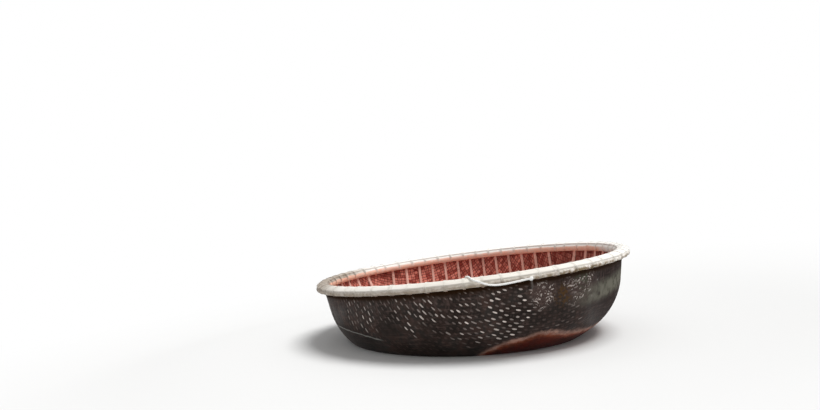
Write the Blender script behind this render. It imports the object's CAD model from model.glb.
"""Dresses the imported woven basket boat: weave, tar, hoops, lashings, ribs, bench and rope."""

from __future__ import annotations

import logging
import math
from contextlib import contextmanager
from dataclasses import dataclass, field
from enum import Enum
from functools import cached_property
from typing import Callable, Iterator, Mapping, Sequence

import bpy
import numpy as np
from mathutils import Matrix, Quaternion, Vector, noise


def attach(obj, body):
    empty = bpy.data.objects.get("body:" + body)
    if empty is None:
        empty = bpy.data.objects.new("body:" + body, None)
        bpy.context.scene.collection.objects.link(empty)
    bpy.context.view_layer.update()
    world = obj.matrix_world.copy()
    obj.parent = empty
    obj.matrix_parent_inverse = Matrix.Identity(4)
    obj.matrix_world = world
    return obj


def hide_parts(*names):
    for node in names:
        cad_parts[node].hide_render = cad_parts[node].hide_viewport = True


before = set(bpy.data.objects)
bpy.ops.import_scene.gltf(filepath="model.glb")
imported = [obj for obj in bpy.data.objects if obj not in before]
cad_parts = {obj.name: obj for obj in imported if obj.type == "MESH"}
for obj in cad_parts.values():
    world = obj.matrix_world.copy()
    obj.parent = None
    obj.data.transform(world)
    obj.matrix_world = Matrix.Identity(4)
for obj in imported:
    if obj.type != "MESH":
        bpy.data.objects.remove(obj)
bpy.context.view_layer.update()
LOG = logging.getLogger("basket_boat")
BODY = "root"

Colour = tuple[float, float, float]
Place = tuple[float, float, float]
Span = tuple[float, float]
Value = "Signal | float | Sequence[float]"


# Small tools

def deselect_all() -> None:
    """Leaves edit mode and deselects every object."""
    if bpy.context.object is not None and bpy.context.object.mode != "OBJECT":
        bpy.ops.object.mode_set(mode="OBJECT")
    bpy.ops.object.select_all(action="DESELECT")


def activate(piece: bpy.types.Object) -> None:
    """Makes a piece the only selected object and the active one.

    Args:
        piece: any object.
    """
    deselect_all()
    piece.select_set(True)
    bpy.context.view_layer.objects.active = piece


@contextmanager
def editing() -> Iterator[None]:
    """Edit mode on the active object, with all of it selected at the start."""
    bpy.ops.object.mode_set(mode="EDIT")
    bpy.ops.mesh.select_all(action="SELECT")
    yield
    bpy.ops.object.mode_set(mode="OBJECT")


def rename(piece: bpy.types.Object, name: str) -> bpy.types.Object:
    """Gives an object and its data one name, and returns the object."""
    piece.name = piece.data.name = name
    return piece


def link_new(name: str, data: bpy.types.ID) -> bpy.types.Object:
    """Makes an object of this data and links it to the scene.

    Args:
        name: the object's name.
        data: its mesh, curve, light or camera.

    Returns:
        The object.
    """
    piece = bpy.data.objects.new(name, data)
    bpy.context.scene.collection.objects.link(piece)
    return piece


def add_primitive(name: str, operator: Callable[..., object],
                  **settings: object) -> bpy.types.Object:
    """Adds one of Blender's primitives with nothing else selected.

    Args:
        name: its name.
        operator: the operator that adds it.
        **settings: the operator's settings.

    Returns:
        The new object, which is the active one.
    """
    deselect_all()
    operator(**settings)
    return rename(bpy.context.object, name)


def coordinates(piece: bpy.types.Object) -> np.ndarray:
    """The places of a mesh piece's vertices.

    Args:
        piece: a mesh object.

    Returns:
        One row of x, y and z for each vertex, in metres.
    """
    points = np.empty(len(piece.data.vertices) * 3)
    piece.data.vertices.foreach_get("co", points)
    return points.reshape(-1, 3)


def move_vertices(piece: bpy.types.Object, points: np.ndarray) -> None:
    """Puts the vertices of a mesh piece at one row of x, y and z each."""
    piece.data.vertices.foreach_set("co", np.asarray(points, dtype=float).ravel())
    piece.data.update()


def delete_vertices(piece: bpy.types.Object, chosen: np.ndarray) -> None:
    """Deletes some of a mesh piece's vertices.

    Args:
        piece: a mesh object.
        chosen: one true or false for each vertex.
    """
    activate(piece)
    with editing():
        bpy.ops.mesh.select_mode(type="VERT")
        bpy.ops.mesh.select_all(action="DESELECT")
    piece.data.vertices.foreach_set("select", np.asarray(chosen, dtype=bool))
    bpy.ops.object.mode_set(mode="EDIT")
    bpy.ops.mesh.delete(type="VERT")
    bpy.ops.object.mode_set(mode="OBJECT")


def clean_mesh(piece: bpy.types.Object, threshold: float = 1e-5) -> None:
    """Merges a piece's doubled vertices and turns its faces outwards.

    Args:
        piece: a mesh object.
        threshold: vertices closer than this, in metres, become one.
    """
    activate(piece)
    with editing():
        bpy.ops.mesh.remove_doubles(threshold=threshold)
        bpy.ops.mesh.normals_make_consistent(inside=False)


def apply_modifier(piece: bpy.types.Object, kind: str, **settings: object) -> None:
    """Adds a modifier to a piece and applies it.

    Args:
        piece: a mesh object.
        kind: the modifier's type.
        **settings: the modifier's own settings.
    """
    activate(piece)
    modifier = piece.modifiers.new(kind.title(), kind)
    for name, value in settings.items():
        setattr(modifier, name, value)
    bpy.ops.object.modifier_apply(modifier=modifier.name)


def smooth_by_angle(piece: bpy.types.Object, degrees: float) -> None:
    """Shades a piece smooth, apart from edges sharper than an angle."""
    activate(piece)
    bpy.ops.object.shade_smooth_by_angle(angle=math.radians(degrees))


def join(pieces: Sequence[bpy.types.Object], name: str) -> bpy.types.Object:
    """Joins mesh pieces into one.

    Args:
        pieces: mesh objects at the origin.
        name: the name of the joined piece.

    Returns:
        The joined object, which is the active one.
    """
    activate(pieces[0])
    for piece in pieces[1:]:
        piece.select_set(True)
    if len(pieces) > 1:
        bpy.ops.object.join()
    return rename(bpy.context.view_layer.objects.active, name)


def cad_object(node: str) -> bpy.types.Object:
    """The object of a CAD node."""
    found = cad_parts[node]
    return bpy.data.objects[found] if isinstance(found, str) else found


def eased_copy(node: str, name: str, ease: float, segments: int,
               corner: float) -> bpy.types.Object:
    """A merged copy of a CAD node with rounded edges.

    Args:
        node: the node's name.
        name: the name of the copy.
        ease: width of the rounding.
        segments: faces across the rounding.
        corner: the angle past which an edge is rounded, in degrees.

    Returns:
        The copy, with a mesh of its own and no material.
    """
    source = cad_object(node)
    piece = link_new(name, source.data.copy())
    piece.matrix_world = source.matrix_world.copy()
    piece.data.materials.clear()
    clean_mesh(piece)
    apply_modifier(piece, "BEVEL", width=ease, segments=segments, limit_method="ANGLE",
                   angle_limit=math.radians(corner))
    return rename(piece, name)


def curve_mesh(points: Sequence[Vector], kind: str, spline_settings: Mapping[str, object],
               **curve_settings: object) -> bpy.types.Mesh:
    """The mesh that Blender makes of a curve of one spline.

    Args:
        points: the spline's points, in order.
        kind: its type.
        spline_settings: the spline's own settings.
        **curve_settings: the curve's own settings.

    Returns:
        The mesh.
    """
    curve = bpy.data.curves.new("line", "CURVE")
    curve.dimensions = "3D"
    spline = curve.splines.new(kind)
    spline.points.add(len(points) - 1)
    for point, place in zip(spline.points, points):
        point.co = (*place, 1.0)
    for owner, settings in ((spline, spline_settings), (curve, curve_settings)):
        for name, value in settings.items():
            setattr(owner, name, value)
    holder = link_new("line", curve)
    bpy.context.view_layer.update()
    mesh = bpy.data.meshes.new_from_object(holder)
    bpy.data.objects.remove(holder)
    return mesh


def write_uv(piece: bpy.types.Object, name: str, pairs: np.ndarray) -> None:
    """Gives each vertex one place on a UV map.

    Args:
        piece: a mesh object.
        name: the UV map's name.
        pairs: one row of u and v for each vertex.
    """
    mesh = piece.data
    layer = mesh.uv_layers.get(name) or mesh.uv_layers.new(name=name)
    corners = np.empty(len(mesh.loops), dtype=np.int32)
    mesh.loops.foreach_get("vertex_index", corners)
    layer.data.foreach_set("uv", np.asarray(pairs, dtype=float)[corners].ravel())


def write_marks(piece: bpy.types.Object, **marks: np.ndarray) -> None:
    """Stores numbers under the names by which materials read them.

    Args:
        piece: a mesh object.
        **marks: one number for each vertex.
    """
    for name, values in marks.items():
        layer = piece.data.attributes.new(name, "FLOAT", "POINT")
        layer.data.foreach_set("value", np.asarray(values, dtype=float))


def smooth_step(low: float, high: float, value: np.ndarray) -> np.ndarray:
    """Rises smoothly from 0 at low to 1 at high.

    Args:
        low: where the step starts.
        high: where it ends; it may be under low for a falling step.
        value: numbers to look up.

    Returns:
        The step's height at each of them.
    """
    share = np.clip((value - low) / (high - low), 0.0, 1.0)
    return share * share * (3.0 - 2.0 * share)


def between_stops(place: np.ndarray, *stops: Span) -> np.ndarray:
    """Looks numbers up on straight lines between stops.

    Args:
        place: where they are looked up.
        *stops: a place and the number there, for each stop in order.

    Returns:
        The number at each place.
    """
    places, numbers = zip(*stops)
    return np.interp(place, places, numbers)


def cloud(points: np.ndarray, scale: float, shift: float = 0.0) -> np.ndarray:
    """Soft noise in space.

    Args:
        points: one row of x, y and z for each place.
        scale: lumps to a metre.
        shift: moves the pattern, so that two of them differ.

    Returns:
        A number from about -1 to 1 for each place.
    """
    roughness, gap, octaves = 0.8, 2.0, 3
    moved = Vector((shift, 2 * shift, 3 * shift))
    return np.array([noise.fractal(Vector(place) * scale + moved, roughness, gap, octaves)
                     for place in points])


def bearing_of(points: np.ndarray) -> np.ndarray:
    """Bearings of points about the boat's axis, in degrees from +X."""
    return np.degrees(np.arctan2(points[:, 1], points[:, 0]))


@dataclass(frozen=True)
class Spot:
    """A soft round mark on the hull."""

    middle: Place
    reach: float
    strength: float = 1.0

    def on(self, points: np.ndarray, core: float) -> np.ndarray:
        """Its strength at each point, full within a core that is a share of its reach."""
        away = np.linalg.norm(points - np.array(self.middle), axis=1)
        return self.strength * smooth_step(self.reach, core * self.reach, away)


def strongest(spots: Sequence[Spot], points: np.ndarray, core: float) -> np.ndarray:
    """The strongest of several marks at each point."""
    return np.max([spot.on(points, core) for spot in spots], axis=0)


# Shapes that several sub-assemblies share

@dataclass(frozen=True)
class HullForm:
    """The bowl's half outline: a bottom arc, a bilge arc and a straight flared side."""

    top_radius: float = 1.004
    freeboard: float = 0.468
    draft: float = 0.215
    wall: float = 0.011
    flare: float = math.radians(10.0)
    side_height: float = 0.185
    bilge_radius: float = 0.420

    @cached_property
    def side(self) -> tuple[float, float]:
        """Radius and height of the side's lower end."""
        return (self.top_radius - self.side_height * math.tan(self.flare),
                self.freeboard - self.side_height)

    @cached_property
    def bilge(self) -> tuple[float, float]:
        """Radius and height of the bilge arc's centre."""
        return (self.side[0] - self.bilge_radius * math.cos(self.flare),
                self.side[1] + self.bilge_radius * math.sin(self.flare))

    @cached_property
    def bottom_radius(self) -> float:
        """Radius of the bottom arc, which is centred on the axis."""
        rise = self.bilge[1] + self.draft
        return ((self.bilge[0] ** 2 + rise ** 2 - self.bilge_radius ** 2)
                / (2 * (rise - self.bilge_radius)))

    @cached_property
    def turn(self) -> float:
        """Angle at which the bottom arc gives way to the bilge arc."""
        return math.atan2(self.bilge[0], self.bottom_radius - self.draft - self.bilge[1])

    @cached_property
    def lengths(self) -> tuple[float, float, float]:
        """Lengths along the outline, measured from the axis.

        Returns:
            The lengths to the ends of its three parts.
        """
        first = self.bottom_radius * self.turn
        second = first + self.bilge_radius * (math.pi / 2 - self.flare - self.turn)
        return first, second, second + self.side_height / math.cos(self.flare)

    def at(self, length: np.ndarray, inset: np.ndarray | float) -> tuple[np.ndarray, np.ndarray]:
        """Places on the outline.

        Args:
            length: lengths from the axis along the hull's outside.
            inset: how far inside the hull's outer surface.

        Returns:
            Their radii and heights.
        """
        first, second, _ = self.lengths
        low = length / self.bottom_radius
        mid = self.turn - math.pi / 2 + (length - first) / self.bilge_radius
        on_low, on_side = length <= first, length >= second
        out = np.where(on_low, np.sin(low), np.where(on_side, math.cos(self.flare), np.cos(mid)))
        up = np.where(on_low, -np.cos(low), np.where(on_side, -math.sin(self.flare), np.sin(mid)))
        radius = np.where(on_low, self.bottom_radius * out, np.where(
            on_side, self.side[0] + (length - second) * math.sin(self.flare),
            self.bilge[0] + self.bilge_radius * out))
        height = np.where(on_low, self.bottom_radius * (1 + up) - self.draft, np.where(
            on_side, self.side[1] + (length - second) * math.cos(self.flare),
            self.bilge[1] + self.bilge_radius * up))
        return radius - inset * out, height - inset * up

    def rim_point(self, out: float, up: float) -> tuple[float, float]:
        """A place in the rim's section.

        Args:
            out: distance outwards from the weave's edge, square to the wall.
            up: distance up along the wall.

        Returns:
            Its radius and height.
        """
        return (self.top_radius + out * math.cos(self.flare) + up * math.sin(self.flare),
                self.freeboard - out * math.sin(self.flare) + up * math.cos(self.flare))

    def rim_place(self, points: np.ndarray) -> tuple[np.ndarray, np.ndarray]:
        """Where points lie in the rim's section.

        Args:
            points: one row of x, y and z for each point.

        Returns:
            Their distances out and up, as rim_point takes them.
        """
        radius = np.hypot(points[:, 0], points[:, 1]) - self.top_radius
        height = points[:, 2] - self.freeboard
        cosine, sine = math.cos(self.flare), math.sin(self.flare)
        return radius * cosine - height * sine, radius * sine + height * cosine

    def rope_point(self, along: float, out: float, up: float) -> Vector:
        """A place by the rim, measured from the near side's middle.

        Args:
            along: distance along the weave's edge.
            out: distance outwards from it.
            up: distance up along the wall.

        Returns:
            The point.
        """
        radius, height = self.rim_point(out, up)
        angle = along / self.top_radius
        return Vector((radius * math.sin(angle), -radius * math.cos(angle), height))


@dataclass(frozen=True)
class FloatPlane:
    """The level water about the heeled boat, as a plane in the boat's own frame."""

    slope_x: float = -0.081
    slope_y: float = 0.007
    near: float = 1.15
    far: float = 2.9

    def height(self, x: np.ndarray, y: np.ndarray) -> np.ndarray:
        """Height of the floor: the plane by the boat, easing to level farther out."""
        share = smooth_step(self.far, self.near, np.hypot(x, y))
        return share * (self.slope_x * x + self.slope_y * y)


@dataclass(frozen=True)
class TarEdge:
    """The upper edge of the thick tar low on the near left, as heights along X."""

    start: float = -0.568
    level: float = 0.139
    slope: float = 0.27
    bend: float = -0.21

    def follow(self, x: Signal | np.ndarray) -> tuple[Signal | np.ndarray, Signal | np.ndarray]:
        """Distance run from the edge's start and its height there, for numbers or nodes."""
        run = self.start - x
        return run, run * run * self.bend + (run * self.slope + self.level)


# Node trees

@dataclass(frozen=True)
class Signal:
    """A node's output, on which arithmetic adds Math nodes."""

    sheet: Sheet
    socket: bpy.types.NodeSocket

    def math(self, operation: str, *others: Value) -> Signal:
        """One Math node with this value first."""
        return self.sheet.take("ShaderNodeMath", dict(enumerate((self, *others))),
                               operation=operation)

    def __add__(self, other: Value) -> Signal:
        """This value plus another."""
        return self.math("ADD", other)

    def __sub__(self, other: Value) -> Signal:
        """This value less another."""
        return self.math("SUBTRACT", other)

    def __rsub__(self, other: float) -> Signal:
        """A number less this value."""
        return self.math("MULTIPLY_ADD", -1.0, other)

    def __mul__(self, other: Value) -> Signal:
        """This value times another."""
        return self.math("MULTIPLY", other)

    def __truediv__(self, other: Value) -> Signal:
        """This value over another."""
        return self.math("DIVIDE", other)

    def __pow__(self, other: float) -> Signal:
        """This value to a power."""
        return self.math("POWER", other)

    def __abs__(self) -> Signal:
        """This value without its sign."""
        return self.math("ABSOLUTE")

    def fraction(self) -> Signal:
        """What this value has past the whole number under it."""
        return self.math("FRACT")

    def most(self, other: Value) -> Signal:
        """The greater of this value and another."""
        return self.math("MAXIMUM", other)

    def step(self, low: float, high: float, start: float = 0.0, end: float = 1.0) -> Signal:
        """A smooth step.

        Args:
            low: where the step starts.
            high: where it ends; it may be under low.
            start: the result at low.
            end: the result at high.

        Returns:
            The result.
        """
        return self.sheet.take(
            "ShaderNodeMapRange", dict(enumerate((self, low, high, start, end))),
            interpolation_type="SMOOTHSTEP")


@dataclass
class Sheet:
    """A node tree with short calls for the nodes that the finishes use."""

    tree: bpy.types.NodeTree
    effects: SharedEffects | None = None

    def feed(self, socket: bpy.types.NodeSocket, value: Value) -> None:
        """Links an output to an input socket, or sets the socket's own value.

        Args:
            socket: the input socket.
            value: a node's output, a number, or a colour or vector.
        """
        if isinstance(value, Signal):
            self.tree.links.new(value.socket, socket)
        elif socket.type == "RGBA":
            socket.default_value = (*value, 1.0)
        else:
            socket.default_value = value

    def add(self, kind: str, inputs: Mapping[str | int, Value] | None = None,
            **settings: object) -> bpy.types.Node:
        """Adds one node.

        Args:
            kind: the node's type name.
            inputs: what feeds its sockets, by their names or numbers.
            **settings: its own settings.

        Returns:
            The node.
        """
        node = self.tree.nodes.new(kind)
        for name, value in settings.items():
            setattr(node, name, value)
        for name, value in (inputs or {}).items():
            self.feed(node.inputs[name], value)
        return node

    def take(self, kind: str, inputs: Mapping[str | int, Value] | None = None,
             output: str | int = 0, **settings: object) -> Signal:
        """Adds one node and takes one of its outputs, by its name or number."""
        return Signal(self, self.add(kind, inputs, **settings).outputs[output])

    def outputs(self, node: bpy.types.Node) -> dict[str, Signal]:
        """All outputs of a node, by name."""
        return {socket.name: Signal(self, socket) for socket in node.outputs}

    def use(self, group: bpy.types.NodeTree, **values: Value) -> dict[str, Signal]:
        """Places a shared node group with these inputs, and gives its outputs."""
        return self.outputs(self.add("ShaderNodeGroup", values, node_tree=group))

    def give(self, **values: Signal) -> bpy.types.NodeTree:
        """Feeds a group's own outputs, and gives the finished group."""
        self.add("NodeGroupOutput", values)
        return self.tree

    def layers(self, base: Value, *coats: tuple[Signal, Value]) -> Signal:
        """Lays colours over one another.

        Args:
            base: the lowest colour.
            *coats: how much of a colour shows, and the colour, from the lowest up.

        Returns:
            The mixed colour.
        """
        for share, coat in coats:
            base = self.take("ShaderNodeMix", {0: share, 6: base, 7: coat}, 2,
                             data_type="RGBA", clamp_factor=True)
        return base

    def noise(self, vector: Signal, scale: float, detail: float = 3.0, rough: float = 0.55,
              swirl: float = 0.0) -> Signal:
        """Noise in space.

        Args:
            vector: where it is looked up.
            scale: lumps to a unit.
            detail: how many finer layers.
            rough: how strong they are.
            swirl: how much they are drawn about.

        Returns:
            The noise, from 0 to 1.
        """
        return self.take("ShaderNodeTexNoise", {
            "Vector": vector, "Scale": scale, "Detail": detail, "Roughness": rough,
            "Distortion": swirl}, "Fac")

    def stretch(self, vector: Signal, scale: Sequence[float]) -> Signal:
        """A vector scaled along each axis, so that a pattern on it is drawn out."""
        return self.take("ShaderNodeMapping", {"Vector": vector, "Scale": scale})

    def bump(self, height: Signal, distance: float, strength: float,
             normal: Signal | None = None) -> Signal:
        """Turns a height into a normal.

        Args:
            height: the height, from 0 to 1.
            distance: what a height of 1 stands for, in metres.
            strength: how much of it shows.
            normal: a normal that this one is added to.

        Returns:
            The normal.
        """
        inputs = {"Strength": strength, "Distance": distance, "Height": height}
        if normal is not None:
            inputs["Normal"] = normal
        return self.take("ShaderNodeBump", inputs)

    def attribute(self, name: str) -> Signal:
        """A number that the piece's vertices carry."""
        return self.take("ShaderNodeAttribute", None, "Fac", attribute_name=name)

    def uv(self, name: str) -> Signal:
        """The piece's own UV map."""
        return self.take("ShaderNodeUVMap", uv_map=name)

    def place(self) -> Signal:
        """The place on the object, in metres."""
        return self.take("ShaderNodeTexCoord", None, "Object")

    def axes(self, vector: Signal) -> list[Signal]:
        """A vector's x, y and z."""
        return list(self.outputs(self.add("ShaderNodeSeparateXYZ", {0: vector})).values())


def new_group(name: str, vector: str, number: str, default: float,
              outputs: Sequence[str]) -> tuple[Sheet, Signal, Signal]:
    """Starts a shared node group that reads a vector and a number.

    Args:
        name: the group's name.
        vector: the name of its vector input.
        number: the name of its number input.
        default: that number's default.
        outputs: the names of its outputs, which are all numbers.

    Returns:
        Its sheet and both inputs.
    """
    tree = bpy.data.node_groups.new(name, "ShaderNodeTree")
    tree.interface.new_socket(vector, in_out="INPUT", socket_type="NodeSocketVector")
    socket = tree.interface.new_socket(number, in_out="INPUT", socket_type="NodeSocketFloat")
    socket.default_value = default
    for label in outputs:
        tree.interface.new_socket(label, in_out="OUTPUT", socket_type="NodeSocketFloat")
    sheet = Sheet(tree)
    inputs = sheet.outputs(sheet.add("NodeGroupInput"))
    return sheet, inputs[vector], inputs[number]


def build_weave_group() -> bpy.types.NodeTree:
    """Builds the pattern of single strips that go over and under pairs of cross strips.

    Returns:
        A group that reads a place in strip widths, and whether it is the mat's back. It
        gives the height of the strip on top, a lozenge on its crown, whether it is of the
        first set, and a random number.
    """
    sheet, mat, back = new_group("plain_weave", "Mat", "Back", 0.0,
                                 ["Height", "Crown", "First", "Random"])
    along_u, along_v, _ = sheet.axes(mat)
    cell_u, cell_v = along_u.math("FLOOR"), along_v.math("FLOOR")
    part_u, part_v = along_u.fraction(), along_v.fraction()
    first = (cell_u + cell_v + back).math("FLOORED_MODULO", 2.0).math("LESS_THAN", 0.5)

    def choose(yes: Value, no: Value) -> Signal:
        """Takes yes where the first set is on top, and no elsewhere."""
        return first * (yes - no) + no

    along = choose(part_u, part_v)
    edge = abs(choose(part_v, (part_u * 2.0).fraction()) - 0.5) * 2.0
    arch = (along * math.pi).math("SINE")
    height = arch * (1.0 - edge ** 3.0 * 0.8) * choose(1.0, 0.55)
    cell = sheet.take("ShaderNodeCombineXYZ", {0: cell_u, 1: cell_v})
    random = sheet.outputs(sheet.add("ShaderNodeTexWhiteNoise", {"Vector": cell},
                                     noise_dimensions="3D"))
    shift, length, width = sheet.axes(random["Color"])
    end = (along - (shift * 0.26 + 0.37)) * 2.0
    ends = end * end * (length * 1.3 + 0.45)
    sides = edge * edge * (width * 3.0 + 1.8)
    return sheet.give(Height=height, Crown=1.0 - (ends + sides), First=first,
                      Random=random["Value"])


def build_grain_group() -> bpy.types.NodeTree:
    """Builds fine fibres that run along V of a UV map in metres.

    Returns:
        A group that gives a fibre value and a value that varies slowly.
    """
    sheet, along, fineness = new_group("fibre_grain", "Along", "Fineness", 1.0,
                                       ["Fibre", "Drift"])
    scaled = sheet.take("ShaderNodeVectorMath", {0: along, "Scale": fineness},
                        operation="SCALE")
    return sheet.give(
        Fibre=sheet.noise(sheet.stretch(scaled, (420.0, 9.0, 1.0)), 1.0, detail=4.0, rough=0.65),
        Drift=sheet.noise(sheet.stretch(scaled, (45.0, 3.0, 1.0)), 1.0, rough=0.5))


def build_grime_group() -> bpy.types.NodeTree:
    """Builds patches of dirt in space.

    Returns:
        A group that gives a mask of large soft patches and one of small specks.
    """
    sheet, place, amount = new_group("grime", "Place", "Amount", 0.5, ["Patches", "Specks"])
    large = sheet.noise(place, 5.0, detail=5.0, rough=0.6, swirl=0.4)
    small = sheet.noise(place, 70.0, rough=0.6)
    low = (1.0 - amount) * 0.5 + 0.25
    return sheet.give(
        Patches=sheet.take("ShaderNodeClamp", {0: (large - low) * 5.0}),
        Specks=sheet.take("ShaderNodeClamp", {0: (small - (low + 0.08)) * 8.0}))


@dataclass
class SharedEffects:
    """The node groups that more than one finish uses."""

    weave: bpy.types.NodeTree = field(default_factory=build_weave_group)
    grain: bpy.types.NodeTree = field(default_factory=build_grain_group)
    grime: bpy.types.NodeTree = field(default_factory=build_grime_group)


# Finishes

@dataclass(frozen=True)
class Finish:
    """A finish: even values on its shader's own sockets, and a painted surface."""

    name: str
    roughness: float = 0.6
    specular: float = 0.4

    def paint(self, sheet: Sheet) -> dict[str, Value]:
        """Each kind of finish gives values by the name of the shader's socket."""
        raise NotImplementedError

    def build(self, effects: SharedEffects) -> bpy.types.Material:
        """Builds the material.

        Args:
            effects: the shared node groups.

        Returns:
            The material.
        """
        material = bpy.data.materials.new(self.name)
        material.use_nodes = True
        sheet = Sheet(material.node_tree, effects)
        shader = material.node_tree.nodes["Principled BSDF"]
        surface = {"Roughness": self.roughness, "Specular IOR Level": self.specular}
        surface.update(self.paint(sheet))
        for name, value in surface.items():
            sheet.feed(shader.inputs[name], value)
        return material


@dataclass(frozen=True)
class TarredWeave(Finish):
    """The outside: black-brown tar over the weave, worn pale on its raised strips."""

    deep: Colour = (0.0128, 0.0090, 0.0078)
    plain: Colour = (0.052, 0.0310, 0.0255)
    cool: Colour = (0.028, 0.0245, 0.0225)
    damp: Colour = (0.0185, 0.0112, 0.0112)
    raised: Colour = (0.105, 0.070, 0.062)
    worn: Colour = (0.74, 0.66, 0.61)
    sheen: Colour = (0.150, 0.145, 0.114)
    shade: Colour = (0.016, 0.0060, 0.0012)
    crust: Colour = (0.088, 0.010, 0.004)
    crust_body: Colour = (0.235, 0.058, 0.024)
    crust_edge: Colour = (0.52, 0.300, 0.235)
    seam: Colour = (0.27, 0.27, 0.25)
    moss: Colour = (0.062, 0.076, 0.048)
    rust: Colour = (0.078, 0.039, 0.011)
    gloss: Colour = (1.0, 0.86, 0.76)
    tar_edge: TarEdge = TarEdge()
    damp_span: Span = (0.48, 0.88)
    runs_span: Span = (0.24, 0.36)
    shade_span: Span = (0.372, 0.408)
    seam_span: Span = (0.36, 0.30)
    seam_width: Span = (0.0055, 0.0020)
    crust_spread: float = 0.060
    scuff_bend: Colour = (3.0, 3.0, 0.0)

    def paint(self, sheet: Sheet) -> dict[str, Value]:
        """Paints tar, wear, weather and the crust.

        Args:
            sheet: the material's sheet.

        Returns:
            Values by the name of the shader's socket.
        """
        place = sheet.place()
        x, _, z = sheet.axes(place)
        weave = sheet.use(sheet.effects.weave, Mat=sheet.uv("mat"), Back=0.0)
        tar, scuff = sheet.attribute("tar"), sheet.attribute("scuff")
        open_weave = 1.0 - tar * 0.92
        broad = sheet.noise(place, 5.0, detail=5.0, rough=0.6)
        patch = sheet.noise(place, 17.0, detail=4.0, rough=0.6, swirl=0.6)
        fine = sheet.noise(place, 160.0, detail=4.0, rough=0.65)
        flecks = sheet.noise(place, 55.0, rough=0.6, swirl=0.5)
        drawn = sheet.noise(sheet.stretch(place, (9.0, 9.0, 95.0)), 1.0, detail=4.0, rough=0.6,
                            swirl=0.3)
        runs = sheet.noise(sheet.stretch(place, (62.0, 62.0, 5.0)), 1.0)
        damp, under_rim = x.step(*self.damp_span), z.step(*self.shade_span)
        lift = weave["Height"].step(0.30, 1.0) * open_weave * fine.step(0.3, 0.75)
        ragged = sheet.noise(place, 22.0, detail=6.0, rough=0.7) - 0.5
        depth = sheet.attribute("crust") + ragged * self.crust_spread
        crust = sheet.layers(
            self.crust_edge,
            (depth.step(0.004, 0.030), self.crust_body),
            (depth.step(0.018, 0.050), self.crust),
            (patch.step(0.62, 0.40, end=0.45), self.deep))
        colour = sheet.layers(
            self.plain,
            (patch.step(0.35, 0.62), self.cool),
            (broad.step(0.66, 0.34), self.deep),
            (damp * 0.75, self.damp),
            (lift * 0.8, self.raised),
            (drawn.step(0.52, 0.72, end=0.5), self.raised),
            (z.step(*self.runs_span) * runs.step(0.50, 0.68, end=0.5), self.raised),
            (self.worn_crowns(sheet, weave, fine) * open_weave, self.worn),
            (scuff * fine.step(0.32, 0.64, start=0.15, end=0.75), self.raised),
            (self.scuff_marks(sheet, place, scuff), self.worn),
            (sheet.attribute("sheen") * patch.step(0.22, 0.60), self.sheen),
            (sheet.attribute("moss") * flecks.step(0.46, 0.58), self.moss),
            (sheet.attribute("rust") * flecks.step(0.54, 0.44), self.rust),
            (under_rim * 0.95, self.shade),
            (self.seam_line(sheet, place), self.seam),
            (depth.step(-0.016, 0.018, end=0.95), crust))
        rough = tar.step(0.0, 1.0, start=0.66, end=0.42) + (fine - 0.5) * 0.3
        weave_relief = sheet.bump(weave["Height"] * open_weave, 0.0016, 0.7)
        lumps = sheet.noise(place, 70.0, detail=5.0, rough=0.7, swirl=0.5)
        return {"Base Color": colour, "Specular Tint": self.gloss,
                "Roughness": rough.most(under_rim.most(damp * 0.9)),
                "Normal": sheet.bump(lumps, 0.0018, 0.6, weave_relief)}

    def worn_crowns(self, sheet: Sheet, weave: dict[str, Signal], fine: Signal) -> Signal:
        """Pale lozenges on the crowns of some of the raised strips.

        Args:
            sheet: the material's sheet.
            weave: the weave group's outputs.
            fine: fine noise that makes their edges ragged.

        Returns:
            Their mask.
        """
        share = sheet.attribute("wear") * (weave["First"] * 0.85 + 0.15)
        strength = (share - weave["Random"]).most(0.0) ** 2.15
        return (weave["Crown"] + (fine - 0.5) * 1.5).step(0.08, 0.60) * strength

    def scuff_marks(self, sheet: Sheet, place: Signal, scuff: Signal) -> Signal:
        """Ragged pale rubbing marks, where the hull has been dragged.

        Args:
            sheet: the material's sheet.
            place: the place on the object.
            scuff: how much the hull is scuffed there.

        Returns:
            Their mask.
        """
        bend = sheet.take("ShaderNodeTexNoise", {"Vector": place, "Scale": 22.0}, "Color")
        bent = sheet.take("ShaderNodeVectorMath", {0: bend, 1: self.scuff_bend,
                                                   2: sheet.uv("mat")}, operation="MULTIPLY_ADD")
        weave = sheet.use(sheet.effects.weave, Mat=bent, Back=0.0)
        chosen = (scuff * 1.05 - weave["Random"]).step(0.0, 0.62)
        gaps = sheet.noise(place, 30.0, detail=4.0, rough=0.62).step(0.40, 0.55)
        return weave["Crown"].step(0.10, 0.55) * chosen * gaps * 0.72

    def seam_line(self, sheet: Sheet, place: Signal) -> Signal:
        """The pale line along the upper edge of the thick tar.

        Args:
            sheet: the material's sheet.
            place: the place on the object.

        Returns:
            Its mask.
        """
        x, y, z = sheet.axes(place)
        run, level = self.tar_edge.follow(x)
        away = abs(z - level + (sheet.noise(place, 24.0) - 0.5) * 0.012)
        mask = away.step(*self.seam_width) * run.step(-0.01, 0.04) * run.step(*self.seam_span)
        return mask * y.math("LESS_THAN", 0.0) * 0.8


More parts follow.
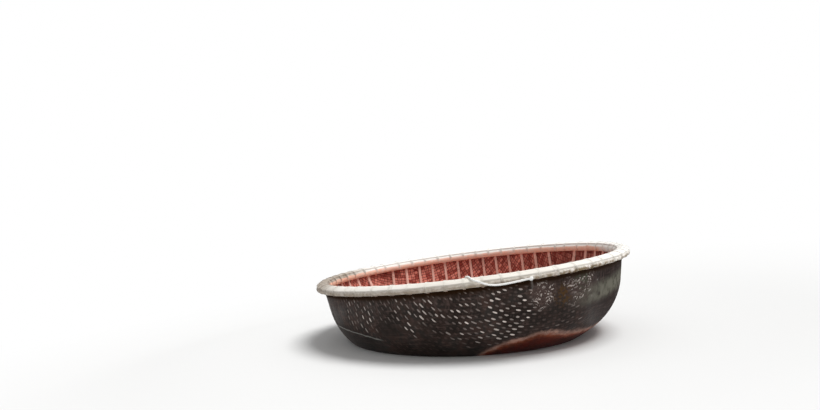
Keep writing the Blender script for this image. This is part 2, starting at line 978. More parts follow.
@dataclass(frozen=True)
class ResinWeave(Finish):
    """The inside: bare strips under red-brown resin."""

    plain: Colour = (0.31, 0.039, 0.025)
    dark: Colour = (0.080, 0.009, 0.005)
    light: Colour = (0.84, 0.285, 0.215)
    silt: Colour = (0.22, 0.15, 0.11)
    shaded_span: Span = (0.25, 0.95)
    silt_span: Span = (0.05, -0.20)

    def paint(self, sheet: Sheet) -> dict[str, Value]:
        """Paints resin in the weave, and silt on the bottom.

        Args:
            sheet: the material's sheet.

        Returns:
            Values by the name of the shader's socket.
        """
        place, mat = sheet.place(), sheet.uv("mat")
        x, _, z = sheet.axes(place)
        weave = sheet.use(sheet.effects.weave, Mat=mat, Back=1.0)
        patches = sheet.use(sheet.effects.grime, Place=place, Amount=0.5)["Patches"]
        streak = sheet.noise(sheet.stretch(mat, (1.0, 9.0, 1.0)), 1.0, detail=4.0, rough=0.6)
        silt = z.step(*self.silt_span) * sheet.noise(place, 9.0, detail=5.0).step(0.35, 0.7)
        colour = sheet.layers(
            self.plain,
            ((weave["Random"] + streak).step(0.35, 1.45), self.light),
            (weave["Height"].step(0.45, 0.05, end=0.8), self.dark),
            (patches * 0.5, self.dark),
            (x.step(*self.shaded_span, end=0.5), self.dark),
            (silt * 0.7, self.silt))
        weave_relief = sheet.bump(weave["Height"], 0.0015, 0.8)
        return {"Base Color": colour, "Normal": sheet.bump(streak, 0.0006, 0.7, weave_relief)}


@dataclass(frozen=True)
class SplitBamboo(Finish):
    """Split bamboo with fibres along V of the UV map named grain, in metres."""

    pale: Colour = (0.70, 0.65, 0.56)
    plain: Colour = (0.55, 0.49, 0.40)
    stain: Colour = (0.24, 0.17, 0.10)
    green: Colour = (0.22, 0.23, 0.13)
    stain_amount: float = 0.35
    node_pitch: float = 0.31
    fineness: float = 1.0
    bump_height: float = 0.0007

    def paint(self, sheet: Sheet) -> dict[str, Value]:
        """Paints fibres, stains and the dark rings at the bamboo's nodes.

        Args:
            sheet: the material's sheet.

        Returns:
            Values by the name of the shader's socket.
        """
        along = sheet.uv("grain")
        grain = sheet.use(sheet.effects.grain, Along=along, Fineness=self.fineness)
        grime = sheet.use(sheet.effects.grime, Place=sheet.place(), Amount=self.stain_amount)
        ring = abs((sheet.axes(along)[1] / self.node_pitch).fraction() - 0.5).step(0.014, 0.004)
        colour = sheet.layers(
            self.plain,
            (grain["Drift"].step(0.3, 0.7), self.pale),
            (grain["Fibre"].step(0.55, 0.3) * 0.35, self.stain),
            (grime["Patches"] * 0.6, self.stain),
            (grime["Specks"] * 0.35, self.green),
            (ring * 0.45, self.stain))
        relief = sheet.bump(grain["Fibre"] * 0.6 + ring, self.bump_height, 0.8)
        return {"Base Color": colour, "Normal": relief}


@dataclass(frozen=True)
class BleachedRim(SplitBamboo):
    """The rim: bleached bamboo, coloured as its vertices say by sun, tar and resin."""

    pale: Colour = (0.80, 0.76, 0.69)
    plain: Colour = (0.69, 0.64, 0.56)
    stain: Colour = (0.22, 0.155, 0.085)
    bleached: Colour = (0.91, 0.885, 0.84)
    dull: Colour = (0.31, 0.248, 0.192)
    resin: Colour = (1.0, 0.54, 0.385)

    def paint(self, sheet: Sheet) -> dict[str, Value]:
        """Paints the rim's marks over the plain bamboo.

        Args:
            sheet: the material's sheet.

        Returns:
            Values by the name of the shader's socket.
        """
        surface = super().paint(sheet)
        blotches = sheet.noise(sheet.place(), 26.0, detail=5.0, rough=0.7)
        mottle = blotches.step(0.30, 0.70, start=0.55)
        surface["Base Color"] = sheet.layers(
            surface["Base Color"],
            (sheet.attribute("bleach"), self.bleached),
            (sheet.attribute("dull") * mottle, self.dull),
            (sheet.attribute("stain") * blotches.step(0.42, 0.54), self.stain),
            (sheet.attribute("resin") * mottle, self.resin))
        return surface


@dataclass(frozen=True)
class WornPlank(Finish):
    """Bare plank, grey-brown, with grain along X and wear in patches."""

    plain: Colour = (0.30, 0.21, 0.135)
    dark: Colour = (0.13, 0.085, 0.055)
    worn: Colour = (0.43, 0.34, 0.25)

    def paint(self, sheet: Sheet) -> dict[str, Value]:
        """Paints rings, fibres and wear.

        Args:
            sheet: the material's sheet.

        Returns:
            Values by the name of the shader's socket.
        """
        place = sheet.place()
        rings = sheet.noise(sheet.stretch(place, (1.6, 26.0, 26.0)), 1.0, detail=5.0, rough=0.6,
                            swirl=0.5)
        fibre = sheet.noise(sheet.stretch(place, (14.0, 380.0, 380.0)), 1.0, rough=0.6)
        patches = sheet.use(sheet.effects.grime, Place=place, Amount=0.45)["Patches"]
        colour = sheet.layers(
            self.dark,
            (rings.step(0.35, 0.62), self.plain),
            (fibre.step(0.6, 0.35) * 0.4, self.dark),
            (patches * 0.5, self.worn))
        ring_relief = sheet.bump(rings, 0.0012, 0.6)
        return {"Base Color": colour, "Normal": sheet.bump(fibre, 0.0004, 0.8, ring_relief)}


@dataclass(frozen=True)
class TwistedCord(Finish):
    """Soft laid cord, with fibres that show in its strands."""

    plain: Colour = (0.92, 0.92, 0.90)
    dirt: Colour = (0.46, 0.43, 0.37)
    dirt_amount: float = 0.4

    def paint(self, sheet: Sheet) -> dict[str, Value]:
        """Paints dirt and fibres.

        Args:
            sheet: the material's sheet.

        Returns:
            Values by the name of the shader's socket.
        """
        place = sheet.place()
        patches = sheet.use(sheet.effects.grime, Place=sheet.stretch(place, (4.0, 4.0, 4.0)),
                            Amount=self.dirt_amount)["Patches"]
        fibre = sheet.noise(place, 900.0, rough=0.6)
        colour = sheet.layers(
            self.plain,
            (patches * 0.5, self.dirt),
            (fibre.step(0.6, 0.35, end=0.25), self.dirt))
        return {"Base Color": colour, "Normal": sheet.bump(fibre, 0.0004, 0.7)}


class FinishName(Enum):
    """The finishes, by the record's material slot that each stands for."""

    TAR = "tarred_weave"
    RIM = "rim_bamboo"
    CANE = "lashing"
    LATH = "rib_bamboo"
    PLANK = "bench_wood"
    POLE = "pole_bamboo"
    ROPE = "rope"


@dataclass
class Finishes:
    """Builds every finish once and puts it on pieces."""

    effects: SharedEffects = field(default_factory=SharedEffects)

    def __post_init__(self) -> None:
        """Builds the materials."""
        finishes = {
            FinishName.TAR: TarredWeave("tarred_weave", 0.55, 0.12),
            FinishName.RIM: BleachedRim("bleached_rim", 0.72, 0.25, stain_amount=0.22),
            FinishName.CANE: BleachedRim(
                "split_cane", 0.75, 0.25, stain_amount=0.08, node_pitch=9.0, fineness=2.0,
                bump_height=0.0003),
            FinishName.LATH: SplitBamboo(
                "stained_lath", 0.6, 0.25, pale=(0.97, 0.62, 0.53), plain=(0.88, 0.49, 0.40),
                stain=(0.26, 0.10, 0.06), green=(0.20, 0.10, 0.07), stain_amount=0.4,
                node_pitch=0.34),
            FinishName.PLANK: WornPlank("worn_plank", 0.75, 0.25),
            FinishName.POLE: SplitBamboo(
                "aged_pole", 0.45, 0.45, pale=(0.56, 0.44, 0.25), plain=(0.40, 0.29, 0.15),
                stain=(0.16, 0.10, 0.05), green=(0.20, 0.19, 0.09), node_pitch=0.27,
                fineness=0.6),
            FinishName.ROPE: TwistedCord("white_cord", 0.8, 0.2),
        }
        self.made = {name: finish.build(self.effects) for name, finish in finishes.items()}
        self.inside = ResinWeave("resin_weave", 0.6, 0.2).build(self.effects)
        self.tarred_cord = TwistedCord(
            "tarred_cord", 0.6, 0.35, plain=(0.060, 0.048, 0.042),
            dirt=(0.14, 0.11, 0.09)).build(self.effects)

    def dress(self, piece: bpy.types.Object, finish: FinishName, node: str,
              material: bpy.types.Material | None = None) -> None:
        """Gives a piece its material, its body and what it stands for.

        Args:
            piece: the finished piece.
            finish: its finish.
            node: the CAD node that it stands for.
            material: another material than the finish's own.
        """
        piece.data.materials.clear()
        piece.data.materials.append(material or self.made[finish])
        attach(piece, BODY)
        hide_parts(node)
        LOG.info("%s: %d faces", piece.name, len(piece.data.polygons))

    def coat_node(self, node: str, finish: FinishName) -> None:
        """Puts a finish on a CAD node that stays as it is.

        Args:
            node: the node's name.
            finish: its finish.
        """
        materials = cad_object(node).data.materials
        materials.clear()
        materials.append(self.made[finish])
        LOG.info("%s: CAD solid", node)


@dataclass
class SubAssembly:
    """What every sub-assembly of the boat works with."""

    form: HullForm
    finishes: Finishes


@dataclass
class WovenHull(SubAssembly):
    """The mat of flat strips, pressed into a bowl: a tarred skin and a bare inner one."""

    strip_width: float = 0.0205
    cross_width: float = 0.039
    lie: float = math.radians(27.0)
    relief: float = 0.0021
    inner_relief: float = 0.0014
    tar_level: float = 0.72
    clearance: float = 0.0006
    lump_height: float = 0.0005
    skin_gap: float = 0.0004
    faces_along: int = 4
    faces_across: int = 3
    back_segments: int = 144
    back_rings: int = 14
    tar_edge: TarEdge = TarEdge()
    tar_spots: tuple[Spot, ...] = (
        Spot((-0.50, -0.81, 0.20), 0.105),
        Spot((0.80, -0.55, 0.22), 0.27, 0.85),
        Spot((0.95, -0.15, 0.26), 0.26, 0.8),
        Spot((-0.93, -0.18, 0.33), 0.17, 0.6))
    worn_spots: tuple[Spot, ...] = (
        Spot((0.12, -0.95, 0.28), 0.36, 1.18),
        Spot((-0.18, -0.95, 0.36), 0.28, 1.14),
        Spot((-0.70, -0.69, 0.36), 0.26, 1.10),
        Spot((-0.42, -0.87, 0.32), 0.24, 1.10),
        Spot((0.60, -0.77, 0.37), 0.15, 0.95),
        Spot((0.02, -0.91, 0.15), 0.24, 0.90))
    scuffs: tuple[Spot, ...] = (
        Spot((0.39, -0.90, 0.34), 0.13),
        Spot((0.62, -0.75, 0.36), 0.20, 0.8))
    moss: tuple[Spot, ...] = (Spot((0.64, -0.755, 0.39), 0.10, 0.8),)
    rust: tuple[Spot, ...] = (Spot((0.505, -0.835, 0.30), 0.09, 0.85),)
    tar_core: float = 0.6
    worn_core: float = 0.45
    mark_core: float = 0.3
    crust_top: tuple[Span, ...] = (
        (-180, -0.06), (-100, -0.06), (-94, -0.02), (-88, 0.031), (-81, 0.068), (-73, 0.085),
        (-69, 0.10), (-62, 0.094), (-52, 0.057), (-40, 0.039), (-33, 0.032), (-10, 0.03),
        (30, 0.05), (80, 0.03), (130, -0.02), (180, -0.06))

    def float_height(self, mat: np.ndarray, back: int) -> np.ndarray:
        """Height of the strip on top.

        Args:
            mat: one row of two places, in strip widths, for each point.
            back: 0 for the mat's front and 1 for its back.

        Returns:
            A height from 0 to 1 for each point.
        """
        mat = mat + 1e-6
        cell = np.floor(mat)
        part = mat - cell
        first = np.mod(cell[:, 0] + cell[:, 1] + back, 2) < 0.5
        along = np.where(first, part[:, 0], part[:, 1])
        edge = np.abs(np.where(first, part[:, 1], np.mod(2 * part[:, 0], 1)) - 0.5) * 2
        chance = np.sin(cell[:, 0] * 12.99 + cell[:, 1] * 78.23) * 43.76
        lift = np.where(first, 0.70, 0.35) + 0.30 * (chance - np.floor(chance))
        return np.sin(np.pi * np.clip(along, 0, 1)) * (1 - 0.8 * edge ** 3) * lift

    def thick_tar(self, points: np.ndarray) -> np.ndarray:
        """How far the tar fills the weave.

        Args:
            points: places on the outside.

        Returns:
            0 where the weave is open and 1 where the tar is smooth, for each place.
        """
        x, y, z = points.T
        wander = cloud(points, 3.2, 4.0)
        run, level = self.tar_edge.follow(x)
        below = smooth_step(0.004, -0.012, z - level)
        tar = np.max([
            0.55 * smooth_step(0.15, 0.75, wander),
            smooth_step(0.12, 0.0, z + 0.05 * wander),
            below * smooth_step(-0.06, 0.02, run) * (y < 0),
            strongest(self.tar_spots, points, self.tar_core)], axis=0)
        return np.clip(tar, 0, 1)

    def worn_share(self, points: np.ndarray) -> np.ndarray:
        """The share of floats that are worn pale.

        Args:
            points: places on the outside.

        Returns:
            A share from 0 to 1 for each place.
        """
        share = np.maximum(0.35 + 0.40 * cloud(points, 2.6, 11.0),
                           strongest(self.worn_spots, points, self.worn_core))
        share = share * (0.90 + 0.25 * cloud(points, 8.0, 2.0))
        return np.clip(share, 0, 1.15) * smooth_step(0.425, 0.398, points[:, 2])

    def crust_depth(self, points: np.ndarray) -> np.ndarray:
        """Depth of points under the upper edge of the crust along the waterline."""
        return between_stops(bearing_of(points), *self.crust_top) - points[:, 2]

    def sheen(self, points: np.ndarray) -> np.ndarray:
        """Where the thick tar has weathered to a dull grey green.

        Args:
            points: places on the outside.

        Returns:
            Its strength from 0 to 1 for each place.
        """
        bearing = bearing_of(points)
        side = smooth_step(-58.0, -36.0, bearing) * smooth_step(24.0, -8.0, bearing)
        level = points[:, 2] - 0.0012 * (bearing + 45.0)
        return side * smooth_step(0.185, 0.240, level) * smooth_step(0.345, 0.285, level)

    def flat_mat(self, name: str) -> tuple[bpy.types.Object, np.ndarray, np.ndarray]:
        """A flat round mat with a few faces to a strip's width.

        Args:
            name: its name.

        Returns:
            The mat, the flat place of each vertex, and that place in strip widths.
        """
        edge = self.form.lengths[2]
        width = np.array([self.cross_width, self.strip_width])
        span = 2 * np.ceil(edge / width)
        mat = add_primitive(
            name, bpy.ops.mesh.primitive_grid_add, size=1.0,
            x_subdivisions=self.faces_along * int(span[0]),
            y_subdivisions=self.faces_across * int(span[1]))
        step = max(self.cross_width / self.faces_along, self.strip_width / self.faces_across)
        reach = np.linalg.norm(coordinates(mat)[:, :2] * span * width, axis=1)
        delete_vertices(mat, reach > edge + 0.98 * step)
        strips = coordinates(mat)[:, :2] * span
        flat = strips * width
        reach = np.linalg.norm(flat, axis=1)
        flat *= np.where(reach > edge, edge / np.maximum(reach, edge), 1.0)[:, None]
        cosine, sine = math.cos(self.lie), math.sin(self.lie)
        return mat, flat @ np.array([[cosine, sine], [-sine, cosine]]), strips

    def press(self, flat: np.ndarray, inset: np.ndarray | float) -> np.ndarray:
        """Presses flat places into the bowl, each at its own distance from the middle.

        Args:
            flat: one row of x and y for each place on the flat mat.
            inset: how far inside the hull's outer surface each place goes.

        Returns:
            One row of x, y and z for each place.
        """
        length = np.hypot(flat[:, 0], flat[:, 1])
        radius, height = self.form.at(length, inset)
        share = np.where(length > 1e-9, radius / np.maximum(length, 1e-9), 1.0)
        return np.column_stack([flat * share[:, None], height])

    def smooth_back(self, name: str, inset: float) -> bpy.types.Object:
        """A smooth bowl that closes a skin on the side that never shows.

        Args:
            name: its name.
            inset: how far inside the hull's outer surface it lies.

        Returns:
            The bowl.
        """
        edge = self.form.lengths[2]
        bowl = add_primitive(name, bpy.ops.mesh.primitive_circle_add, radius=edge,
                             vertices=self.back_segments, fill_type="NGON")
        with editing():
            for _ in range(self.back_rings - 1):
                bpy.ops.mesh.inset(thickness=edge / self.back_rings)
            bpy.ops.mesh.poke()
        move_vertices(bowl, self.press(coordinates(bowl)[:, :2], inset))
        return bowl

    def close(self, mat: bpy.types.Object, back_inset: float,
              material: bpy.types.Material | None = None) -> None:
        """Closes a woven skin with a smooth back along its top edge, and dresses it.

        Args:
            mat: the woven side.
            back_inset: how far inside the hull's outer surface the back lies.
            material: another material than the tar.
        """
        skin = join([mat, self.smooth_back(mat.name + "_back", back_inset)], mat.name)
        with editing():
            bpy.ops.mesh.select_mode(type="EDGE")
            bpy.ops.mesh.select_all(action="DESELECT")
            bpy.ops.mesh.select_non_manifold()
            bpy.ops.mesh.bridge_edge_loops()
            bpy.ops.mesh.select_all(action="SELECT")
            bpy.ops.mesh.normals_make_consistent(inside=False)
        smooth_by_angle(skin, 60.0)
        self.finishes.dress(skin, FinishName.TAR, "hull", material)

    def build_outside(self) -> None:
        """Builds the tarred skin, with the marks that its finish reads."""
        mat, flat, strips = self.flat_mat("hull_tarred_weave")
        smooth = self.press(flat, 0.0)
        tar = self.thick_tar(smooth)
        fill = self.float_height(strips, 0) * (1 - tar) + self.tar_level * tar
        lumps = self.lump_height * cloud(smooth, 22.0, 2.0)
        move_vertices(mat, self.press(flat, self.relief * (1 - fill) + self.clearance + lumps))
        write_marks(
            mat, tar=tar, wear=self.worn_share(smooth), crust=self.crust_depth(smooth),
            moss=strongest(self.moss, smooth, self.mark_core),
            rust=strongest(self.rust, smooth, self.mark_core),
            scuff=strongest(self.scuffs, smooth, self.mark_core), sheen=self.sheen(smooth))
        write_uv(mat, "mat", strips)
        self.close(mat, self.form.wall / 2 - self.skin_gap)

    def build_inside(self) -> None:
        """Builds the bare inner skin."""
        mat, flat, strips = self.flat_mat("hull_inner_weave")
        height = self.float_height(strips, 1)
        move_vertices(mat, self.press(flat, self.form.wall - self.inner_relief * (1 - height)))
        write_uv(mat, "mat", strips)
        self.close(mat, self.form.wall / 2 + self.skin_gap, self.finishes.inside)

    def build(self) -> None:
        """Builds both skins in place of the CAD shell."""
        self.build_outside()
        self.build_inside()


@dataclass(frozen=True)
class RimWeather:
    """What sun, tar and resin have done to the rim, from place to place."""

    form: HullForm
    inside: float = -0.012
    outside: float = 0.020

    def write(self, piece: bpy.types.Object) -> None:
        """Writes a piece's marks: bleach, dull, stain and resin.

        Args:
            piece: a hoop, a cap strip or a lashing.
        """
        points = coordinates(piece)
        out, up = self.form.rim_place(points)
        bearing = bearing_of(points)
        outer = out > self.outside
        rubbed = between_stops(bearing, (-40, 0), (-22, 1), (11, 1), (21, 0))
        low = smooth_step(-0.019, -0.027, up + 0.004 * cloud(points, 12.0, 3.0))
        resin = (out < self.inside) * low * (1 - rubbed)
        bleach = between_stops(
            bearing, (-180, 0.3), (-140, 0.55), (-110, 0.45), (-90, 0.2), (-70, 0.35),
            (-50, 0.6), (-20, 0.95), (60, 0.85), (120, 0.4), (180, 0.3))
        facing = between_stops(bearing, (-30, 0), (-10, 1), (135, 1), (160, 0))
        bleach = np.maximum(bleach, facing * smooth_step(-0.004, -0.012, out))
        face = outer * smooth_step(0.002, -0.020, up)
        dull = face * between_stops(
            bearing, (-180, 1), (-150, 0.95), (-100, 0.9), (-82, 0.75), (-62, 0.25),
            (-45, 0.1), (0, 0), (150, 0.5), (180, 1))
        dull = dull + 0.5 * face * smooth_step(-0.018, -0.033, up)
        dull = np.maximum(dull, between_stops(np.abs(bearing), (141, 0), (159, 1)))
        side = between_stops(
            bearing, (-180, 0.3), (-150, 0.2), (-90, 0.2), (-72, 0.7), (-55, 1), (-25, 0.9),
            (0, 0.5), (60, 0.3), (180, 0.3))
        stain = outer * side * smooth_step(-0.004, -0.024, up)
        marks = {"bleach": bleach, "dull": dull, "stain": stain, "resin": resin}
        write_marks(piece, **{name: np.clip(mark, 0, 1) for name, mark in marks.items()})


class Rounded(Enum):
    """Which way the rounded face of a hoop or cap strip looks."""

    OUT = 1
    IN = -1
    UP = 0


@dataclass(frozen=True)
class Hoop:
    """One hoop or cap strip: the sides of its section and how it is made up."""

    node: str
    near: float
    far: float
    low: float
    high: float
    crown: float
    rounded: Rounded
    cut: float
    pitch: float


@dataclass
class RimBundle(SubAssembly):
    """Hoops and cap strips round the bowl's edge, each of two lengths joined by scarfs."""

    steps: int = 384
    ease: float = 0.0005
    cap_middle: float = 0.0020
    cap_level: float = 0.0239
    cap_slope: float = math.radians(24.0)
    cap_near: float = -0.0336
    cap_far: float = 0.0376
    cap_gap: float = 0.0004
    cap_strips: int = 3
    wave: float = 0.0008
    ridge: float = 0.0009
    ridge_width: float = 0.011
    grain_radius: float = 0.02
    scarf_gap: float = 0.0015
    scarf_angle: float = math.radians(20.0)
    saw_length: float = 0.26
    saw_height: float = 0.16
    saw_drop: float = 0.02

    def roof(self, out: float) -> float:
        """Height of the cap's seat: level in the middle, and falling to both sides."""
        past = max(0.0, abs(out - self.cap_middle) - self.cap_level / 2)
        return -past * math.tan(self.cap_slope)

    def strip_outline(self, strip: Hoop) -> list[tuple[float, float]]:
        """A cap strip's section, which follows the roof.

        Args:
            strip: the cap strip.

        Returns:
            Places in the rim's section, in order round it.
        """
        near, far, ease = strip.near, strip.far, self.ease
        curve = []
        for share in np.linspace(0, 1, 9):
            out = far - (far - near) * share
            curve.append((out, strip.high + self.roof(out) - strip.crown * (2 * share - 1) ** 2))
        under = ((near, ease), (near + ease, 0.0), (far - ease, 0.0), (far, ease))
        return curve + [(out, strip.low + self.roof(out) + up) for out, up in under]

    def hoop_outline(self, hoop: Hoop) -> list[tuple[float, float]]:
        """A hoop's section, with an arc for its face and eased corners at its back.

        Args:
            hoop: the hoop.

        Returns:
            Places in the rim's section, in order round it.
        """
        sign, low, high, crown = hoop.rounded.value, hoop.low, hoop.high, hoop.crown
        face, back = (hoop.far, hoop.near) if sign > 0 else (hoop.near, hoop.far)
        top = high + self.roof(face - sign * crown)
        half = (top - low) / 2
        radius = (half ** 2 + crown ** 2) / (2 * crown)
        reach = math.asin(half / radius)
        curve = [(face - sign * radius * (1 - math.cos(turn)), top - half + radius * math.sin(turn))
                 for turn in np.linspace(-reach, reach, 13)]
        eased = back + sign * self.ease
        return curve + [(eased, high + self.roof(eased)),
                        (back, high + self.roof(back) - self.ease),
                        (back, low + self.ease), (eased, low)]

    def ring(self, hoop: Hoop, seed: float) -> bpy.types.Object:
        """Spins a hoop's section round the boat and makes it uneven.

        Args:
            hoop: the hoop or cap strip.
            seed: makes each hoop's unevenness its own.

        Returns:
            The hoop, with its grain map.
        """
        flat_top = hoop.rounded is Rounded.UP
        section = self.strip_outline(hoop) if flat_top else self.hoop_outline(hoop)
        places = np.array([self.form.rim_point(out, up) for out, up in section])
        piece = add_primitive(hoop.node + "_split", bpy.ops.mesh.primitive_circle_add,
                              vertices=len(section), radius=0.01)
        move_vertices(piece, np.insert(places, 1, 0.0, axis=1))
        with editing():
            bpy.ops.mesh.spin(steps=self.steps, angle=2 * math.pi, center=(0, 0, 0),
                              axis=(0, 0, 1))
        clean_mesh(piece)
        points = coordinates(piece)
        angle = np.arctan2(points[:, 1], points[:, 0])
        circle = np.column_stack([np.cos(angle), np.sin(angle), np.full(len(angle), seed)])
        length = angle * self.form.top_radius
        off = np.abs(np.mod(length / hoop.pitch + seed, 1.0) - 0.5) * hoop.pitch
        swell = self.ridge * np.exp(-(off / self.ridge_width) ** 2)
        out = self.wave * (cloud(circle, 5.0, seed) + 0.4 * cloud(circle, 16.0, seed))
        up = 0.8 * self.wave * cloud(circle, 4.0, seed + 5)
        radius = np.hypot(points[:, 0], points[:, 1])
        away = np.column_stack([radius, points[:, 2]]) - places.mean(axis=0)
        away /= np.maximum(np.linalg.norm(away, axis=1), 1e-6)[:, None]
        radius = radius + out + swell * away[:, 0]
        move_vertices(piece, np.column_stack([
            radius * np.cos(angle), radius * np.sin(angle),
            points[:, 2] + up + swell * away[:, 1]]))
        turn = np.arctan2(away[:, 1], away[:, 0]) * self.grain_radius
        write_uv(piece, "grain", np.column_stack([turn + seed, length + seed]))
        return piece

    def scarf(self, piece: bpy.types.Object, hoop: Hoop) -> None:
        """Saws a ring into two lengths by slanting cuts at two opposite places.

        Args:
            piece: the ring.
            hoop: the hoop that it is of.
        """
        middle = (hoop.near + hoop.far) / 2, (hoop.low + hoop.high) / 2
        radius = self.form.rim_point(*middle)[0]
        for half in (0.0, math.pi):
            bearing = math.radians(hoop.cut) + half
            place = (radius * math.cos(bearing), radius * math.sin(bearing),
                     self.form.freeboard - self.saw_drop)
            saw = add_primitive(
                "saw", bpy.ops.mesh.primitive_cube_add, size=1.0, location=place,
                rotation=(0, 0, bearing - self.scarf_angle),
                scale=(self.saw_length, self.scarf_gap, self.saw_height))
            bpy.ops.object.transform_apply(location=True, rotation=True, scale=True)
            apply_modifier(piece, "BOOLEAN", operation="DIFFERENCE", object=saw, solver="EXACT")
            bpy.data.objects.remove(saw)

    def hoops(self) -> list[Hoop]:
        """Lists the hoops and cap strips.

        Returns:
            The outer hoop, the inner hoop and the strips that lie over them.
        """
        made = [
            Hoop("rim_outer_hoop", 0.0236, 0.0456, -0.035, 0.0, 0.009, Rounded.OUT, 60.0, 0.29),
            Hoop("rim_inner_hoop", -0.0416, -0.0176, -0.055, 0.0, 0.009, Rounded.IN, 138.0,
                 0.33)]
        gaps = (self.cap_strips - 1) * self.cap_gap
        width = (self.cap_far - self.cap_near - gaps) / self.cap_strips
        for strip in range(self.cap_strips):
            near = self.cap_near + strip * (width + self.cap_gap)
            made.append(Hoop(f"rim_cap_strip_{strip + 1}", near, near + width, 0.0003, 0.0113,
                             0.0012, Rounded.UP, 35.0 + 52.0 * strip, 0.27 + 0.03 * strip))
        return made

    def build(self) -> None:
        """Builds the hoops in place of the CAD ones, apart from the packing hoop."""
        for index, hoop in enumerate(self.hoops()):
            piece = self.ring(hoop, 0.37 * index + 0.1)
            self.scarf(piece, hoop)
            RimWeather(self.form).write(piece)
            smooth_by_angle(piece, 40.0)
            self.finishes.dress(piece, FinishName.RIM, hoop.node)
        self.finishes.coat_node("rim_packing_hoop", FinishName.RIM)


@dataclass
class RimLashings(SubAssembly):
    """Bands of split cane round the rim, several turns in each bay between ribs."""

    near: float = -0.0419
    far: float = 0.0459
    high: float = 0.0116
    shoulder: float = 0.0003
    side: float = -0.0175
    cap_near: float = -0.0100
    cap_far: float = 0.0140
    low_outside: float = -0.0353
    low_inside: float = -0.0553
    inner_far: float = -0.0173
    corner: float = 0.0065
    rounding: float = 0.0030
    stand_off: float = 0.0010
    turns: int = 4
    turn_lean: float = 0.0012
    lean_step: float = 0.0005
    cane_width: float = 0.0036
    cane_thickness: float = 0.0010
    turn_pitch: float = 0.0037
    bays: int = 7
    rib_pitch: float = 0.100
    rib_circle: float = 0.9651
    band_lean: float = 0.0016
    band_depth: float = 0.05
    band_spread: float = 0.10

    def outline(self) -> list[tuple[float, float]]:
        """The bundle's outline in the rim's section, with its corners cut off."""
        cut = self.corner
        return [
            (self.near, self.side), (self.near + cut, self.shoulder),
            (self.cap_near, self.high), (self.cap_far, self.high),
            (self.far - cut, self.shoulder), (self.far, self.side),
            (self.far, self.low_outside + cut), (self.far - cut, self.low_outside),
            (self.inner_far, self.low_inside), (self.near + cut, self.low_inside),
            (self.near, self.low_inside + cut),
        ]

    def loop(self, lean: float, shift: float) -> list[tuple[float, float, float]]:
        """One edge of a turn's line round the bundle, at the bearing of +X.

        Args:
            lean: how far it slants along the rim from its inner to its outer side.
            shift: how far along the rim it lies.

        Returns:
            Its points, in order.
        """
        corners = [Vector(corner) for corner in self.outline()]
        middle = sum(corners, Vector((0.0, 0.0))) / len(corners)
        points = []
        for index, corner in enumerate(corners):
            before, after = corners[index - 1], corners[(index + 1) % len(corners)]
            first = corner + (before - corner).normalized() * self.rounding
            last = corner + (after - corner).normalized() * self.rounding
            for place in (first, (first + 2 * corner + last) / 4, last):
                out, up = place + (place - middle).normalized() * self.stand_off
                radius, height = self.form.rim_point(out, up)
                points.append((radius, lean * out / self.far + shift, height))
        return points

    def band(self) -> bpy.types.Object:
        """Makes one lashing of several turns, at the bearing of +X.

        Returns:
            The band, with its grain map.
        """
        made = []
        for turn in range(self.turns):
            shift = (turn - (self.turns - 1) / 2) * self.turn_pitch - self.cane_width / 2
            path = self.loop(self.turn_lean * (-1) ** turn + self.lean_step * turn, shift)
            cane = add_primitive("cane", bpy.ops.mesh.primitive_circle_add,
                                 vertices=len(path), radius=0.01)
            move_vertices(cane, np.array(path))
            with editing():
                bpy.ops.mesh.extrude_edges_move(
                    TRANSFORM_OT_translate={"value": (0, self.cane_width, 0)})
                bpy.ops.mesh.select_all(action="SELECT")
                bpy.ops.mesh.normals_make_consistent(inside=False)
            apply_modifier(cane, "SOLIDIFY", thickness=self.cane_thickness, offset=0.0)
            made.append(cane)
        band = join(made, "lashing_band")
        smooth_by_angle(band, 50.0)
        points = coordinates(band)
        write_uv(band, "grain", np.column_stack([points[:, 1] * 3, points[:, 0] + points[:, 2]]))
        return band

    def bearings(self) -> list[float]:
        """Bearings of one quarter's lashings, in radians."""
        first = [math.asin((bay + 0.5) * self.rib_pitch / self.rib_circle)
                 for bay in range(self.bays)]
        return first + [math.pi / 2 - angle for angle in first]

    def build(self) -> None:
        """Builds the four quarters of lashings in place of the CAD bands."""
        band = self.band()
        x, y, z = coordinates(band).T
        depth = (x - x.mean()) / self.band_depth
        for quarter in range(4):
            copies = []
            for index, bearing in enumerate(self.bearings()):
                angle = bearing + quarter * math.pi / 2
                lean = self.band_lean * math.sin(7.3 * index + quarter)
                spread = 1.0 + self.band_spread * math.sin(3.1 * index + 2 * quarter)
                aside = (y + lean * depth) * spread
                cosine, sine = math.cos(angle), math.sin(angle)
                piece = link_new("lashing", band.data.copy())
                move_vertices(piece, np.column_stack([
                    x * cosine - aside * sine, x * sine + aside * cosine, z]))
                copies.append(piece)
            piece = join(copies, f"rim_cane_lashings_{quarter + 1}")
            RimWeather(self.form).write(piece)
            self.finishes.dress(piece, FinishName.CANE, f"rim_lashings_{quarter + 1}")
        bpy.data.objects.remove(band)


@dataclass
class Ribs(SubAssembly):
    """Bent laths inside the bowl, with eased edges."""

    count: int = 13
    ease: float = 0.0011
    bottom: float = -0.05

    def build(self) -> None:
        """Builds both sets of laths in place of the CAD ones."""
        for number in range(1, self.count + 1):
            for side, axis in (("fore_aft", 1), ("athwart", 0)):
                node = f"rib_{side}_{number:02d}"
                piece = eased_copy(node, node + "_lath", self.ease, 2, 50.0)
                points = coordinates(piece)
                across, along = points[:, 1 - axis], points[:, axis]
                rise = np.maximum(points[:, 2] - self.bottom, 0.0)
                seed = float(across.mean())
                write_uv(piece, "grain", np.column_stack([
                    across + seed, along + np.sign(along) * rise + 1.7 * seed]))
                smooth_by_angle(piece, 35.0)
                self.finishes.dress(piece, FinishName.LATH, node)


